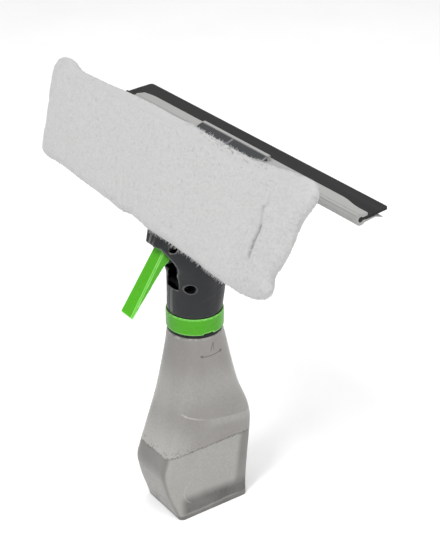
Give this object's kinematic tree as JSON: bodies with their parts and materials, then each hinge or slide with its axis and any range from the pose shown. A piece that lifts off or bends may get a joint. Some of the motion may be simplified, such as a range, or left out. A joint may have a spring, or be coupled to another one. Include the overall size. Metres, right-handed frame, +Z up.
{
  "type": "window cleaning squeegee with spray bottle",
  "caption": "Hand window cleaner: spray bottle with trigger head, a leaning microfibre pad in front and a wide squeegee blade behind.",
  "frame": {"origin": "centre of the bottle's foot, on the surface that it stands on", "axes": "+Z up the bottle, +X along the blade and pad, -Y the trigger, nozzle and pad side, +Y the squeegee side"},
  "size_m": [0.312, 0.1151, 0.3244],
  "materials": {
    "bottle_plastic": "translucent frosted",
    "liquid": "clear liquid",
    "black_rubber": "matte",
    "green_plastic": "semi-gloss moulded",
    "head_plastic": "satin moulded",
    "clear_tube": "translucent",
    "screw_steel": "bright",
    "pump_plastic": "moulded",
    "pad_plate_plastic": "moulded",
    "foam": "open-cell foam",
    "microfibre": "looped microfibre pile",
    "holder_plastic": "satin extruded",
    "blade_rubber": "matte"
  },
  "bodies": {
    "bottle_body": {"bottle": "bottle_plastic", "cleaning_fluid": "liquid", "shoulder_seal": "black_rubber"},
    "head": {"neck_plug": "head_plastic", "rim_gasket": "black_rubber", "dip_tube": "clear_tube", "housing_left": "head_plastic", "housing_right": "head_plastic", "housing_screws": "screw_steel", "trigger_pin": "screw_steel", "pump_body": "pump_plastic", "return_spring": "screw_steel", "outlet_cap": "pump_plastic", "delivery_tube": "clear_tube", "nozzle_body": "pump_plastic", "swirl_core": "clear_tube", "pad_plate": "pad_plate_plastic", "pad_foam": "foam", "pad_cover": "microfibre", "plate_screws": "screw_steel", "blade_holder": "holder_plastic", "rubber_blade": "blade_rubber"},
    "collar": {"lock_collar": "green_plastic"},
    "trigger_lever": {"trigger": "green_plastic"},
    "piston_rod": {"piston": "pump_plastic", "piston_seal": "black_rubber"},
    "inlet_valve": {"inlet_ball": "screw_steel"},
    "outlet_valve": {"outlet_ball": "screw_steel"}
  },
  "joints": [
    {"name": "head_lift", "type": "slide", "parent": "bottle_body", "child": "head", "axis": [0, 0, 1], "range_m": [0, 0.175]},
    {"name": "collar_turn", "type": "hinge", "parent": "head", "child": "collar", "pos_m": [0, 0, 0.162], "axis": [0, 0, 1], "range_deg": [-60, 0]},
    {"name": "trigger_swing", "type": "hinge", "parent": "head", "child": "trigger_lever", "pos_m": [0, -0.0252, 0.2272], "axis": [1, 0, 0], "range_deg": [0, 24], "stiffness_Nm_per_rad": 0.6, "springref_deg": -14.32},
    {"name": "piston_slide", "type": "slide", "parent": "head", "child": "piston_rod", "axis": [0, 1, 0], "range_m": [0, 0.0064], "deforming": ["return_spring"]},
    {"name": "inlet_ball_lift", "type": "slide", "parent": "head", "child": "inlet_valve", "axis": [0, 0, 1], "range_m": [0, 0.0012]},
    {"name": "outlet_ball_lift", "type": "slide", "parent": "head", "child": "outlet_valve", "axis": [0, 0, 1], "range_m": [0, 0.0012]}
  ],
  "couplings": [
    {"joint": "piston_slide", "follows": "trigger_swing", "m_per_rad": 0.0146}
  ]
}
